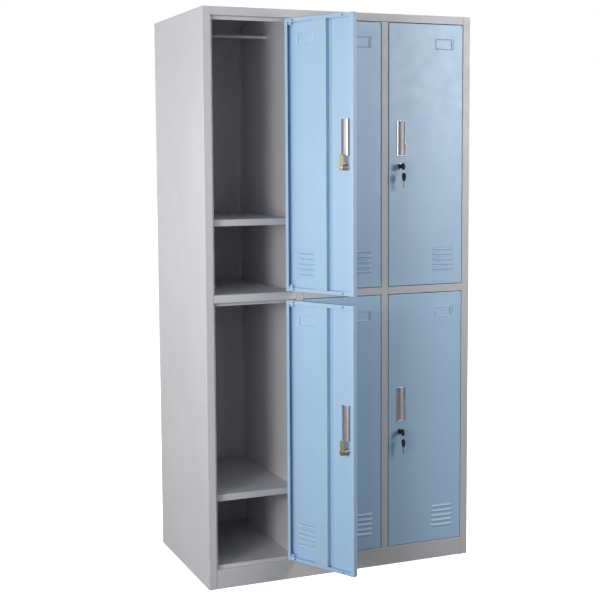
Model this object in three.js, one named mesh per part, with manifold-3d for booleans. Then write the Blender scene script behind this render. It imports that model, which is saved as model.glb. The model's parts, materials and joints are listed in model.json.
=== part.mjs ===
// Six-door steel storage locker: three columns, two rows, every door hung on pivot pins at its right
// edge. Millimetres, +X to the right, +Y to the back, +Z up. The origin is on the floor, in the middle
// of the plinth's foot flange. The shapes are drawn from the front frame's face at y = 0, and the whole
// cabinet is then set back by half that flange. The first column's two doors stand open.
import * as THREE from 'three';
import { mergeVertices } from 'three/addons/utils/BufferGeometryUtils.js';
import Module from 'manifold-3d';

const wasm = await Module();
wasm.setup();

// Whole cabinet
const WIDTH = 900;
const DEPTH = 515;
const HEIGHT = 1760;
const SHEET = 1;
const GAP = 0.3;

// Front frame
const STILE = 25;
const POST = 23.3;
const COLUMNS = 3;
const OPENING = (WIDTH - 2 * STILE - (COLUMNS - 1) * POST) / COLUMNS;
const PLINTH_TOP = 58.4;
const FOOT_FLANGE = 25;
const MID_RAIL_BOTTOM = 881.5;
const MID_RAIL_TOP = 905.5;
const TOP_RAIL_BOTTOM = 1735.1;
const STOP_Y = 19.5;
const STOP_WIDTH = 10;
const STOP_DROP = 11;
const STOP_SHORT_OF_HINGE = 27;
const FRAME_BACK = STOP_Y + SHEET + GAP;
const REAR_FLANGE = 20;

// Inside
const BACK_WEB = 480;
const SHELF_REAR = BACK_WEB - 1.8;
const FLOOR_TOP = 60;
const SHELF_FRONT = 30;
const SHELF_LIP = 20;
const SHELF_RISE = 225;
const ROD_RADIUS = 6;
const ROD_Y = 247;
const ROD_Z = 1700;

// Doors
const DOOR_GAP = 2.2;
const DOOR_WIDTH = OPENING - 2 * DOOR_GAP;
const DOOR_THICK = 18;
const DOOR_LIP = 12;
const OPEN_ANGLE = 117;
const PIVOT_IN = 12;
const PIVOT_BACK = 5.5;
const PIN_RADIUS = 2.5;
const PIN_HOLE_RADIUS = 3.2;
const PIN_REACH = 8;
const STIFFENER_WIDTH = 48;
const STIFFENER_FROM_HINGE = 137;
const HANDLE_LOW = 27;
const HANDLE_WIDTH = 33;
const HANDLE_HEIGHT = 112;
const HANDLE_ABOVE_MIDDLE = 54;
const LOCK_FROM_EDGE = 38.5;
const LOCK_BELOW_MIDDLE = 34;
const BARREL_RADIUS = 9;
const BARREL_END = 22;
const PLUG_RADIUS = 6;
const CAM_LENGTH = 37;
const CAM_WIDTH = 16;
const LOUVRE_COUNT = 5;
const LOUVRE_PITCH = 16;

const paint = (color, roughness, metalness) =>
  new THREE.MeshStandardMaterial({ color, roughness, metalness });
const finish = {
  carcass: () => paint(0xbfc0c4, 0.5, 0.1),
  door: () => paint(0x9dbacd, 0.45, 0.1),
  handle: () => paint(0xc9c8c6, 0.35, 0.8),
  chrome: () => paint(0xd8d9db, 0.2, 0.9),
  cam: () => paint(0xc6bd8c, 0.4, 0.8),
  key: () => paint(0x1b1b1d, 0.5, 0),
  rod: () => paint(0xd0d1d3, 0.25, 0.9),
};

// Solids -------------------------------------------------------------------------------------------

function block(x0, x1, y0, y1, z0, z1) {
  const box = new THREE.BoxGeometry(x1 - x0, y1 - y0, z1 - z0);
  return box.translate((x0 + x1) / 2, (y0 + y1) / 2, (z0 + z1) / 2);
}

function rod(radius, length, sides = 24) {
  return new THREE.CylinderGeometry(radius, radius, length, sides);
}

function toManifold(geometry) {
  const bare = geometry.clone();
  bare.deleteAttribute('normal');
  bare.deleteAttribute('uv');
  const merged = mergeVertices(bare, 1e-5);
  return new wasm.Manifold(new wasm.Mesh({
    numProp: 3,
    vertProperties: new Float32Array(merged.attributes.position.array),
    triVerts: new Uint32Array(merged.index.array),
  }));
}

function fromManifold(solid) {
  const mesh = solid.getMesh();
  const geometry = new THREE.BufferGeometry();
  geometry.setAttribute('position', new THREE.BufferAttribute(new Float32Array(mesh.vertProperties), 3));
  geometry.setIndex(new THREE.BufferAttribute(new Uint32Array(mesh.triVerts), 1));
  const flat = geometry.toNonIndexed();
  flat.computeVertexNormals();
  return flat;
}

function join(...geometries) {
  return fromManifold(geometries.map(toManifold).reduce((whole, next) => whole.add(next)));
}

function cut(geometry, ...tools) {
  return fromManifold(tools.map(toManifold).reduce((rest, tool) => rest.subtract(tool), toManifold(geometry)));
}

// The outline of a sheet of even thickness that follows a bent path, on its left (side 1) or right (-1).
function bentSheet(path, side = 1, thickness = SHEET) {
  const points = path.map(([x, y]) => new THREE.Vector2(x, y));
  const normals = points.slice(1).map((point, i) => {
    const along = point.clone().sub(points[i]).normalize();
    return new THREE.Vector2(-along.y, along.x).multiplyScalar(side);
  });
  const inner = points.map((point, i) => {
    const before = normals[Math.max(i - 1, 0)];
    const after = normals[Math.min(i, normals.length - 1)];
    const mitre = before.clone().add(after).divideScalar(1 + before.dot(after));
    return point.clone().addScaledVector(mitre, thickness);
  });
  return new THREE.Shape([...points, ...inner.reverse()]);
}

function extrudeUp(shape, z0, z1) {
  return new THREE.ExtrudeGeometry(shape, { depth: z1 - z0, bevelEnabled: false }).translate(0, 0, z0);
}

// A profile drawn in depth and height (y, z), run along X.
function extrudeAcross(shape, x0, x1) {
  const geometry = new THREE.ExtrudeGeometry(shape, { depth: x1 - x0, bevelEnabled: false });
  const turn = new THREE.Matrix4().makeBasis(
    new THREE.Vector3(0, 1, 0),
    new THREE.Vector3(0, 0, 1),
    new THREE.Vector3(1, 0, 0),
  );
  return geometry.applyMatrix4(turn).translate(x0, 0, 0);
}

function addPiece(parent, name, geometry, material) {
  const mesh = new THREE.Mesh(geometry, material);
  mesh.name = name;
  parent.add(mesh);
  return mesh;
}

// Columns, from left to right: the door opening, and the clear space behind the frame. ---------------

const columns = Array.from({ length: COLUMNS }, (_, i) => {
  const left = -WIDTH / 2 + STILE + i * (OPENING + POST);
  const right = left + OPENING;
  const last = i === COLUMNS - 1;
  return {
    number: i + 1,
    left,
    right,
    clearLeft: (i === 0 ? -WIDTH / 2 + SHEET : left - POST + SHEET) + GAP,
    clearRight: (last ? WIDTH / 2 - SHEET : right) - GAP,
    pivotX: right - DOOR_GAP - PIVOT_IN,
    stopLeft: left + STOP_WIDTH + GAP,
    stopRight: right - STOP_SHORT_OF_HINGE,
  };
});

const rows = [
  { name: 'lower', floor: FLOOR_TOP, bottom: PLINTH_TOP, top: MID_RAIL_BOTTOM },
  { name: 'upper', floor: MID_RAIL_TOP, bottom: MID_RAIL_TOP, top: TOP_RAIL_BOTTOM },
];

function pinHole(column, z) {
  const hole = rod(PIN_HOLE_RADIUS, 6, 16).rotateX(Math.PI / 2);
  return hole.translate(column.pivotX, PIVOT_BACK, z);
}

// Everything in a stop flange's strip that lies outside the given columns' stops.
function stopTrims(chosen, z0, z1) {
  const edges = [-WIDTH / 2 - 1];
  chosen.forEach((column) => edges.push(column.stopLeft, column.stopRight));
  edges.push(WIDTH / 2 + 1);
  const trims = [];
  for (let i = 0; i < edges.length; i += 2) {
    trims.push(block(edges[i], edges[i + 1], STOP_Y - GAP, FRAME_BACK, z0, z1));
  }
  return trims;
}

// Carcass ------------------------------------------------------------------------------------------

function sidePanels(cabinet) {
  const x = WIDTH / 2;
  const top = HEIGHT - SHEET - GAP;
  const leftPath = [[-x + STILE + STOP_WIDTH, STOP_Y], [-x + STILE, STOP_Y], [-x + STILE, 0], [-x, 0],
    [-x, DEPTH], [-x + REAR_FLANGE, DEPTH]];
  const overStop = (z0, z1) => block(-x + STILE, -x + STILE + STOP_WIDTH + 1, STOP_Y - 1, FRAME_BACK, z0, z1);
  const left = cut(
    extrudeUp(bentSheet(leftPath, -1), 0, top),
    overStop(-1, PLINTH_TOP + GAP),
    overStop(TOP_RAIL_BOTTOM - GAP, HEIGHT),
  );
  addPiece(cabinet, 'side_panel_left', left, finish.carcass());
  const rightPath = [[x - REAR_FLANGE, DEPTH], [x, DEPTH], [x, 0], [x - STILE, 0], [x - STILE, STOP_Y]];
  addPiece(cabinet, 'side_panel_right', extrudeUp(bentSheet(rightPath, -1), 0, top), finish.carcass());
}

function topPanel(cabinet) {
  const path = [[DEPTH, HEIGHT - 18], [DEPTH, HEIGHT], [0, HEIGHT], [0, TOP_RAIL_BOTTOM],
    [STOP_Y, TOP_RAIL_BOTTOM], [STOP_Y, TOP_RAIL_BOTTOM - STOP_DROP]];
  const x = WIDTH / 2;
  const under = HEIGHT - SHEET;
  const stileTrims = [-1, 1].map((side) => {
    const inner = side * (x - STILE - GAP);
    const outer = side * (x + 1);
    return block(Math.min(inner, outer), Math.max(inner, outer), -1, REAR_FLANGE + 10, 0, under);
  });
  const rearTrims = [-1, 1].map((side) => {
    const inner = side * (x - REAR_FLANGE - GAP);
    const outer = side * (x + 1);
    return block(Math.min(inner, outer), Math.max(inner, outer), DEPTH - 10, DEPTH + 1, 0, under);
  });
  const panel = cut(
    extrudeAcross(bentSheet(path), -x, x),
    ...stileTrims,
    ...rearTrims,
    ...stopTrims(columns, TOP_RAIL_BOTTOM - STOP_DROP - 1, TOP_RAIL_BOTTOM),
    ...columns.map((column) => pinHole(column, TOP_RAIL_BOTTOM)),
  );
  addPiece(cabinet, 'top_panel', panel, finish.carcass());
}

function base(cabinet) {
  const x = WIDTH / 2;
  const stopTop = PLINTH_TOP + STOP_WIDTH;
  const plinthPath = [[FOOT_FLANGE, 0], [0, 0], [0, PLINTH_TOP], [STOP_Y, PLINTH_TOP], [STOP_Y, stopTop]];
  const plinth = cut(
    extrudeAcross(bentSheet(plinthPath, -1), -x + STILE + GAP, x - STILE - GAP),
    ...stopTrims(columns, PLINTH_TOP, stopTop + 1),
    ...columns.map((column) => pinHole(column, PLINTH_TOP)),
  );
  addPiece(cabinet, 'plinth', plinth, finish.carcass());
  const floorPath = [[FRAME_BACK, FLOOR_TOP - 16], [FRAME_BACK, FLOOR_TOP], [BACK_WEB - GAP, FLOOR_TOP],
    [BACK_WEB - GAP, FLOOR_TOP - 22]];
  const inner = x - SHEET - GAP;
  addPiece(cabinet, 'base_floor', extrudeAcross(bentSheet(floorPath, -1), -inner, inner), finish.carcass());
}

// A recessed tray: its web closes the compartments and its rims run back to the side panels' flanges.
function backPanel(cabinet) {
  const inner = WIDTH / 2 - SHEET - GAP;
  const rim = DEPTH - SHEET - GAP;
  const path = [[-inner, rim], [-inner, BACK_WEB], [inner, BACK_WEB], [inner, rim]];
  const web = extrudeUp(bentSheet(path), 0, HEIGHT - SHEET - GAP);
  const foot = block(-inner, inner, BACK_WEB, rim, 0, SHEET);
  addPiece(cabinet, 'back_panel', join(web, foot), finish.carcass());
}

function partitions(cabinet) {
  columns.slice(0, -1).forEach((column) => {
    const x = column.right;
    const rear = BACK_WEB - GAP;
    const path = [[x + REAR_FLANGE, rear], [x, rear], [x, 0], [x + POST, 0], [x + POST, STOP_Y],
      [x + POST + STOP_WIDTH, STOP_Y]];
    const far = x + POST + STOP_WIDTH + 1;
    const partition = cut(
      extrudeUp(bentSheet(path), PLINTH_TOP + GAP, HEIGHT - SHEET - GAP),
      block(x - 1, far, FRAME_BACK, rear + 1, 0, FLOOR_TOP + GAP),
      block(x - 1, far, -1, FRAME_BACK, TOP_RAIL_BOTTOM - GAP, HEIGHT),
    );
    addPiece(cabinet, `partition_${column.number}`, partition, finish.carcass());
  });
}

// The fixed deck between two rows: shelf, front rail and the stop for the door below, in one sheet.
function decks(cabinet) {
  const path = [[SHELF_REAR, MID_RAIL_TOP - SHELF_LIP], [SHELF_REAR, MID_RAIL_TOP], [0, MID_RAIL_TOP],
    [0, MID_RAIL_BOTTOM], [STOP_Y, MID_RAIL_BOTTOM], [STOP_Y, MID_RAIL_BOTTOM - STOP_DROP]];
  columns.forEach((column) => {
    const bottom = MID_RAIL_BOTTOM - STOP_DROP - 1;
    const deck = cut(
      extrudeAcross(bentSheet(path), column.clearLeft, column.clearRight),
      block(column.left - POST - 5, column.left + GAP, -1, FRAME_BACK, bottom, MID_RAIL_TOP + 1),
      block(column.left - 1, column.stopLeft, STOP_Y - GAP, FRAME_BACK, bottom, MID_RAIL_TOP + 1),
      block(column.right - GAP, column.right + STILE + 1, -1, FRAME_BACK, bottom, MID_RAIL_TOP + 1),
      block(column.stopRight, column.right, STOP_Y, FRAME_BACK, bottom, MID_RAIL_BOTTOM),
      pinHole(column, MID_RAIL_TOP),
      pinHole(column, MID_RAIL_BOTTOM),
    );
    addPiece(cabinet, `deck_${column.number}`, deck, finish.carcass());
  });
}

function shelves(cabinet) {
  rows.forEach((row) => {
    const top = row.floor + SHELF_RISE;
    const path = [[SHELF_FRONT + 10, top - SHELF_LIP], [SHELF_FRONT, top - SHELF_LIP], [SHELF_FRONT, top],
      [SHELF_REAR, top], [SHELF_REAR, top - SHELF_LIP]];
    columns.forEach((column) => {
      const shelf = extrudeAcross(bentSheet(path, -1), column.clearLeft, column.clearRight);
      addPiece(cabinet, `shelf_${column.number}_${row.name}`, shelf, finish.carcass());
    });
  });
}

// A clothes rod in two flanged sockets, in each upper compartment.
function hangingRods(cabinet) {
  const flange = 2;
  const collar = 11;
  columns.forEach((column) => {
    const ends = [[column.clearLeft, 1, 'left'], [column.clearRight, -1, 'right']];
    ends.forEach(([x, inward, side]) => {
      const plate = rod(13, flange).translate(0, flange / 2, 0);
      const sleeve = rod(ROD_RADIUS + 2, collar).translate(0, collar / 2, 0);
      const bore = rod(ROD_RADIUS + GAP, collar).translate(0, collar / 2 + flange, 0);
      const socket = addPiece(cabinet, `rod_socket_${side}_${column.number}`, cut(join(plate, sleeve), bore),
        finish.chrome());
      socket.rotation.z = -inward * Math.PI / 2;
      socket.position.set(x, ROD_Y, ROD_Z);
    });
    const length = column.clearRight - column.clearLeft - 2 * (flange + GAP);
    const bar = addPiece(cabinet, `hanging_rod_${column.number}`, rod(ROD_RADIUS, length), finish.rod());
    bar.rotation.z = Math.PI / 2;
    bar.position.set((column.clearLeft + column.clearRight) / 2, ROD_Y, ROD_Z);
  });
}

// Doors --------------------------------------------------------------------------------------------
// A door is drawn closed, from its free edge (x = 0) to its hinge edge, with its front face at y = 0
// and its bottom at z = 0. place() then moves it so that the pivot axis is the group's own Z axis.

const place = (geometry) => geometry.translate(PIVOT_IN - DOOR_WIDTH, -PIVOT_BACK, 0);

const handleBottom = (height) => height / 2 + HANDLE_ABOVE_MIDDLE - HANDLE_HEIGHT / 2;

function doorShell(height) {
  const w = DOOR_WIDTH;
  const t = DOOR_THICK;
  const pan = cut(
    block(0, w, 0, t, 0, height),
    block(SHEET, w - SHEET, SHEET, t - SHEET, SHEET, height - SHEET),
    block(DOOR_LIP, w - DOOR_LIP, t - 2 * SHEET, t + 1, DOOR_LIP, height - DOOR_LIP),
    block(HANDLE_LOW + 0.3, HANDLE_LOW + HANDLE_WIDTH - 2.5, -1, 2 * SHEET, handleBottom(height) + 3,
      handleBottom(height) + HANDLE_HEIGHT - 3),
    rod(BARREL_RADIUS + GAP, 6).translate(LOCK_FROM_EDGE, 0, height / 2 - LOCK_BELOW_MIDDLE),
  );
  const pins = [-PIN_REACH / 2, height + PIN_REACH / 2].map((z) =>
    rod(PIN_RADIUS, PIN_REACH + SHEET, 12).rotateX(Math.PI / 2).translate(w - PIVOT_IN, PIVOT_BACK, z));
  return place(join(pan, ...pins, ...louvres(), cardFrame(height)));
}

// Raised hoods near the foot of the door, on the hinge side.
function louvres() {
  const hood = new THREE.Shape([
    new THREE.Vector2(0.5, 0),
    new THREE.Vector2(-3.5, 0),
    new THREE.Vector2(-3.5, 2),
    new THREE.Vector2(0.5, 9),
  ]);
  const right = DOOR_WIDTH - 31;
  return Array.from({ length: LOUVRE_COUNT }, (_, i) =>
    extrudeAcross(hood, right - 77, right).translate(0, 0, 46 + i * LOUVRE_PITCH));
}

// A raised frame that holds a name card, near the head of the door.
function cardFrame(height) {
  const right = DOOR_WIDTH - 32;
  const top = height - 45;
  return cut(
    block(right - 68, right, -1.5, 0.5, top - 35, top),
    block(right - 63, right - 5, -2, 0, top - 30, top + 1),
  );
}

// A hat-shaped channel that stiffens the skin, standing as deep as the door's lips.
function stiffener(height) {
  const middle = DOOR_WIDTH - STIFFENER_FROM_HINGE;
  const half = STIFFENER_WIDTH / 2;
  const foot = half + 9;
  const skin = SHEET + 0.2;
  const path = [[middle - foot, skin], [middle - half, skin], [middle - half, DOOR_THICK - SHEET],
    [middle + half, DOOR_THICK - SHEET], [middle + half, skin], [middle + foot, skin]];
  return place(extrudeUp(bentSheet(path), DOOR_LIP + GAP, height - DOOR_LIP - GAP));
}

// A flush finger pull: a bezel, and a scoop that runs down behind its free-edge side.
function handle(height) {
  const z0 = handleBottom(height);
  const x0 = HANDLE_LOW;
  const x1 = HANDLE_LOW + HANDLE_WIDTH;
  const curve = new THREE.SplineCurve([
    [x1 - 4, -0.5], [x1 - 8, 4.5], [x1 - 15, 9], [x1 - 24, 12], [x0 + 1, 13], [x0 - 3, 11.5], [x0 - 3.5, 8],
    [x0 - 2.5, 5],
  ].map(([x, y]) => new THREE.Vector2(x, y)));
  const scoopPath = curve.getPoints(20).map((point) => [point.x, point.y]);
  scoopPath.push([x0 + 1.8, 3], [x0 + 1.8, -0.5]);
  const scoop = extrudeUp(bentSheet(scoopPath, -1), z0 + 4, z0 + HANDLE_HEIGHT - 4);
  const filled = new THREE.Shape(scoopPath.map(([x, y]) => new THREE.Vector2(x, y)));
  const ends = [z0 + 4, z0 + HANDLE_HEIGHT - 5].map((z) => extrudeUp(filled, z, z + SHEET));
  const bezel = cut(
    block(x0, x1, -1.8, -0.2, z0, z0 + HANDLE_HEIGHT),
    block(x0 + 2, x1 - 4, -3, 0, z0 + 5, z0 + HANDLE_HEIGHT - 5),
  );
  return place(join(bezel, scoop, ...ends));
}

// Lock parts are drawn about the plug's own axis, which runs along Y.
function lockBarrel() {
  const head = rod(11, 2.8).translate(0, -1.6, 0);
  const body = rod(BARREL_RADIUS, BARREL_END + 0.2).translate(0, BARREL_END / 2 - 0.1, 0);
  return cut(join(head, body), rod(PLUG_RADIUS + GAP, 60).translate(0, 10, 0));
}

function lockCam() {
  const camFront = BARREL_END + 0.4;
  const plug = rod(PLUG_RADIUS, camFront + 3.4).translate(0, (camFront - 3) / 2, 0);
  const plate = join(
    block(-CAM_WIDTH / 2, CAM_WIDTH / 2, camFront, camFront + 2.5, 0, CAM_LENGTH),
    rod(CAM_WIDTH / 2, 2.5).translate(0, camFront + 1.25, 0),
  );
  const nut = rod(7, 4, 6).translate(0, camFront + 4.4, 0);
  const keyway = block(-1.5, 1.5, -10, 20, -4.5, 4.5);
  return cut(join(plug, plate, nut), keyway);
}

function key() {
  const bow = cut(
    join(
      block(-2.5, 2.5, -30, -8, -7, 7),
      rod(11, 5).rotateZ(Math.PI / 2).translate(0, -23, 0),
    ),
    rod(2.6, 10, 16).rotateZ(Math.PI / 2).translate(0, -29, 0),
  );
  return join(bow, block(-1.1, 1.1, -9, 18, -4.1, 4.1));
}

function doors(cabinet) {
  rows.forEach((row) => {
    const height = row.top - row.bottom - 2 * DOOR_GAP;
    columns.forEach((column) => {
      const open = column.number === 1;
      const tag = `${column.number}_${row.name}`;
      const door = new THREE.Group();
      door.position.set(column.pivotX, PIVOT_BACK, row.bottom + DOOR_GAP);
      door.rotation.z = open ? THREE.MathUtils.degToRad(OPEN_ANGLE) : 0;
      addPiece(door, `door_${tag}`, doorShell(height), finish.door());
      addPiece(door, `stiffener_${tag}`, stiffener(height), finish.door());
      addPiece(door, `handle_${tag}`, handle(height), finish.handle());
      const lock = new THREE.Group();
      lock.position.set(PIVOT_IN - DOOR_WIDTH + LOCK_FROM_EDGE, -PIVOT_BACK, height / 2 - LOCK_BELOW_MIDDLE);
      addPiece(lock, `lock_barrel_${tag}`, lockBarrel(), finish.chrome());
      addPiece(lock, `lock_cam_${tag}`, lockCam(), finish.cam());
      if (!open) {
        addPiece(lock, `key_${tag}`, key(), finish.key());
      }
      door.add(lock);
      cabinet.add(door);
    });
  });
}

const cabinet = new THREE.Group();
cabinet.position.y = -FOOT_FLANGE / 2;
sidePanels(cabinet);
topPanel(cabinet);
base(cabinet);
backPanel(cabinet);
partitions(cabinet);
decks(cabinet);
shelves(cabinet);
hangingRods(cabinet);
doors(cabinet);

export default cabinet;
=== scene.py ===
"""A six-door steel storage locker: three columns by two rows, the first column's doors open.

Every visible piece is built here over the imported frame. Lengths in the profiles are in millimetres
(MM turns them into metres), in the row frame: +X to the right, +Y to the back, +Z up.
"""

import json
import math

import bmesh
import bpy
from mathutils import Matrix, Vector


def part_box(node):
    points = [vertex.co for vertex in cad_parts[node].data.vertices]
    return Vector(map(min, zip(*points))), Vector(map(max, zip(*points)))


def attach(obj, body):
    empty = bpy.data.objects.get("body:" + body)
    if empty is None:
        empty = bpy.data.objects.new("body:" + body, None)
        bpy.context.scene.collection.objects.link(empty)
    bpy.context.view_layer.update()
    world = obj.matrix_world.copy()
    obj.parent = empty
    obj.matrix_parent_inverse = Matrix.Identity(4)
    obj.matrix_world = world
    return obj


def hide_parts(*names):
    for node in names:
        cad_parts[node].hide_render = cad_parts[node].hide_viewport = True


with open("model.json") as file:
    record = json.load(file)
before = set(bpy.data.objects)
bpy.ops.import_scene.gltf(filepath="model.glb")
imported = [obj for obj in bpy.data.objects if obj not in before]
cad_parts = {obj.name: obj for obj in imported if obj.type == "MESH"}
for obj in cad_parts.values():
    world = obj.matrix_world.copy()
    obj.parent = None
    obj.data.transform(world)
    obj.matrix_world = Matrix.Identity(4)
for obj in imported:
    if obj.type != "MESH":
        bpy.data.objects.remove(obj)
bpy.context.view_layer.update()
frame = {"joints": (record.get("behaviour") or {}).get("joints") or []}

MM = 0.001
WELD_WITHIN = 0.004

# Carcass, seen from the front: heights from the floor, depths from the front face
SHEET = 0.9
BACK_SHEET = 0.8
BEND = 1.7
BEND_STEPS = 4
NESTED = 1.3  # a sheet that stands inside the fold of another
STILE = 25
POST = 23.3
STOP_Y = 19.5
STOP_DROP = 11
STOP_WIDTH = 10
STOP_SHORT_OF_HINGE = 27
REAR_FLANGE = 20
TOP_REAR_FLANGE = 18
FRAME_BACK = 20.8
BACK_WEB = 480
BACK_RIB = ((0, 0), (1.6, 1.5), (8, 1.5), (9.6, 0))  # along x, and proud of the web
RIB_FROM_RIGHT = 14
SHELF_REAR = 478.2
REAR_CLEARANCE = 1.4
SHELF_LIP = 20
SHELF_RETURN = 10
FLOOR_FRONT_LIP = 16
FLOOR_REAR_LIP = 22
GAP = 0.3
SEAM = 0.7  # the joint between plinth and stile, with a tab behind it
TAB_OVERLAP = 12
TAB_JOGGLE = 4
TAB_BACK = 2.2
BUFFER_IN = 7.4
BUFFER_FROM_RAIL = 26

# Doors, drawn from the free edge (x = 0), the front face (y = 0) and the bottom (z = 0)
DOOR_GAP = 2.2
DOOR_THICK = 18
DOOR_LIP = 12
LIP_HOLE_RADIUS = 3.2
LIP_HOLE_FROM_FREE = 39
LIP_HOLE_FROM_HINGE = 32
DRILL_LENGTH = 6
BEHIND_SKIN = 1.1
PIVOT_IN = 12
PIVOT_BACK = 5.5
PIN_REACH = 8
PIN_RADIUS = 2.5
STIFFENER_FROM_HINGE = 137
STIFFENER_HALF = 24
STIFFENER_FOOT = 9
HANDLE_LOW = 27
HANDLE_WIDTH = 33
HANDLE_HEIGHT = 112
HANDLE_ABOVE_MIDDLE = 54
LOCK_FROM_EDGE = 38.5
LOCK_BELOW_MIDDLE = 34
LOCK_HOLE_RADIUS = 9.4
LOUVRE_COUNT = 5
LOUVRE_PITCH = 16
LOUVRE_LOW = 46
LOUVRE_RISE = 9
LOUVRE_WIDTH = 77
LOUVRE_FROM_HINGE = 31
LOUVRE_PROUD = 3.4
LOUVRE_END = 9
LOUVRE_SLIT = 0.06
CARD_FROM_HINGE = 32
CARD_FROM_TOP = 45
CARD_WIDTH = 68
CARD_HEIGHT = 35
CARD_RIDGE = 2.2
CARD_PROUD = 1.0
KEY_HOLE_OUT = 29  # the ring's hole in the bow
KEY_HOLE_IN = 6
KEY_HOLE_RADIUS = 2.6
BOW_OUT = KEY_HOLE_OUT - KEY_HOLE_IN
BOW_TAIL = 15
KEY_CUTS = ((4, 1.4), (8, 2.2), (12, 1.0), (16, 1.8))  # along the blade, and deep
RING_RADIUS = 10
RING_DROP = 2.1

ROWS = ("lower", "upper")
COLUMNS = (1, 2, 3)

# Taken from the frame
joints = {joint["name"]: joint for joint in frame["joints"]}
side_low, side_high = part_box("side_panel_left")
FRONT = side_low.y / MM
LEFT = side_low.x / MM
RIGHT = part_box("side_panel_right")[1].x / MM
DEPTH = (side_high.y - side_low.y) / MM
top_low, top_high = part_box("top_panel")
HEIGHT = top_high.z / MM
TOP_BOTTOM = top_low.z / MM + STOP_DROP
deck_low, deck_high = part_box("deck_1")
MID_TOP = deck_high.z / MM
MID_BOTTOM = deck_low.z / MM + STOP_DROP
plinth_low, plinth_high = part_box("plinth")
PLINTH_TOP = plinth_high.z / MM - STOP_WIDTH
FOOT = (plinth_high.y - plinth_low.y) / MM
FLOOR_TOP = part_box("base_floor")[1].z / MM
OPENING = (RIGHT - LEFT - 2 * STILE - 2 * POST) / 3


# Meshes


def finish_mesh(mesh, angle=32):
    """Faces out, round where it bends and crisp where it is cut."""
    bm = bmesh.new()
    bm.from_mesh(mesh)
    bmesh.ops.recalc_face_normals(bm, faces=bm.faces)
    bm.to_mesh(mesh)
    bm.free()
    mesh.polygons.foreach_set("use_smooth", [True] * len(mesh.polygons))
    mesh.set_sharp_from_angle(angle=math.radians(angle))
    return mesh


def mesh_from(verts, faces, name="mesh", angle=32):
    """A mesh from points in millimetres."""
    mesh = bpy.data.meshes.new(name)
    mesh.from_pydata([Vector(v) * MM for v in verts], [], faces)
    mesh.update()
    return finish_mesh(mesh, angle)


def merged(*parts):
    """Several (verts, faces) as one."""
    verts, faces = [], []
    for part_verts, part_faces in parts:
        base = len(verts)
        verts += part_verts
        faces += [[base + k for k in face] for face in part_faces]
    return verts, faces


def moved(part, offset=(0, 0, 0), turn=None):
    """A (verts, faces) part turned and then shifted."""
    turn = turn or Matrix.Identity(3)
    return [tuple(turn @ Vector(v) + Vector(offset)) for v in part[0]], part[1]


def cell_shell(columns, rows, outer, inner, keep):
    """A closed shell over the kept cells of a grid, between two surfaces."""
    verts, index, faces = [], {}, []

    def vertex(side, i, j):
        if (side, i, j) not in index:
            index[side, i, j] = len(verts)
            verts.append(tuple((inner if side else outer)(i, j)))
        return index[side, i, j]

    kept = {(i, j) for i in range(columns) for j in range(rows) if keep(i, j)}
    for i, j in sorted(kept):
        ring = [(i, j), (i + 1, j), (i + 1, j + 1), (i, j + 1)]
        faces.append([vertex(0, *c) for c in ring])
        faces.append([vertex(1, *c) for c in reversed(ring)])
        for k, step in enumerate(((0, -1), (1, 0), (0, 1), (-1, 0))):
            if (i + step[0], j + step[1]) not in kept:
                a, b = ring[k], ring[(k + 1) % 4]
                faces.append([vertex(0, *b), vertex(0, *a), vertex(1, *a), vertex(1, *b)])
    return verts, faces


def bent(path, side, radius=BEND, thickness=SHEET):
    """Points, directions to the other face, and the path leg of each strip, along a folded path."""
    points = [Vector(p) for p in path]
    legs = [(b - a).normalized() for a, b in zip(points, points[1:])]
    normals = [Vector((-leg.y, leg.x)) * side for leg in legs]
    out = [(points[0], normals[0])]
    strips = []
    for k in range(1, len(points) - 1):
        before, after = legs[k - 1], legs[k]
        turn = before.x * after.y - before.y * after.x
        angle = math.atan2(turn, before.dot(after))
        strips.append(k - 1)
        if abs(angle) < 1e-4:
            out.append((points[k], normals[k]))
            continue
        toward = angle * side > 0
        bend = radius if toward else radius - thickness
        sign = 1 if toward else -1
        centre = points[k] - before * (bend * math.tan(abs(angle) / 2)) + normals[k - 1] * bend * sign
        for step in range(BEND_STEPS + 1):
            normal = normals[k - 1].copy()
            normal.rotate(Matrix.Rotation(angle * step / BEND_STEPS, 2))
            out.append((centre - normal * bend * sign, normal))
            if step:
                strips.append(k - 0.5)
    strips.append(len(points) - 2)
    out.append((points[-1], normals[-1]))
    return out, strips


def folded(path, spans, axis, side=1, radius=BEND, thickness=SHEET, holes=()):
    """A sheet folded along a path and run along an axis.

    spans gives each leg's start and end along the axis; a bend runs where both its legs do.
    holes are (leg, start, end) stretches that are left out. axis "z" draws the path in (x, y), and
    axis "x" draws it in (y, z).
    """
    profile, strips = bent(path, side, radius, thickness)
    breaks = sorted({w for span in spans for w in span} | {w for hole in holes for w in hole[1:]})

    def runs(leg, low, high):
        if leg % 1:
            return runs(int(leg - 0.5), low, high) and runs(int(leg + 0.5), low, high)
        inside = spans[leg][0] <= low and high <= spans[leg][1]
        return inside and not any(h[0] == leg and h[1] <= low and high <= h[2] for h in holes)

    def place(point, w):
        return (point.x, point.y, w) if axis == "z" else (w, point.x, point.y)

    return cell_shell(
        len(strips),
        len(breaks) - 1,
        lambda i, j: place(profile[i][0], breaks[j]),
        lambda i, j: place(profile[i][0] + profile[i][1] * thickness, breaks[j]),
        lambda i, j: runs(strips[i], breaks[j], breaks[j + 1]),
    )


def loft(loops, closed=True):
    """Faces between rings of equal length. closed joins the last ring to the first; open ends are capped."""
    count = len(loops[0])
    verts = [p for loop in loops for p in loop]
    faces = []
    pairs = len(loops) if closed else len(loops) - 1
    for a in range(pairs):
        b = (a + 1) % len(loops)
        for k in range(count):
            n = (k + 1) % count
            faces.append([a * count + k, a * count + n, b * count + n, b * count + k])
    if not closed:
        faces.append(list(range(count))[::-1])
        faces.append([(len(loops) - 1) * count + k for k in range(count)])
    return verts, faces


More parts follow.
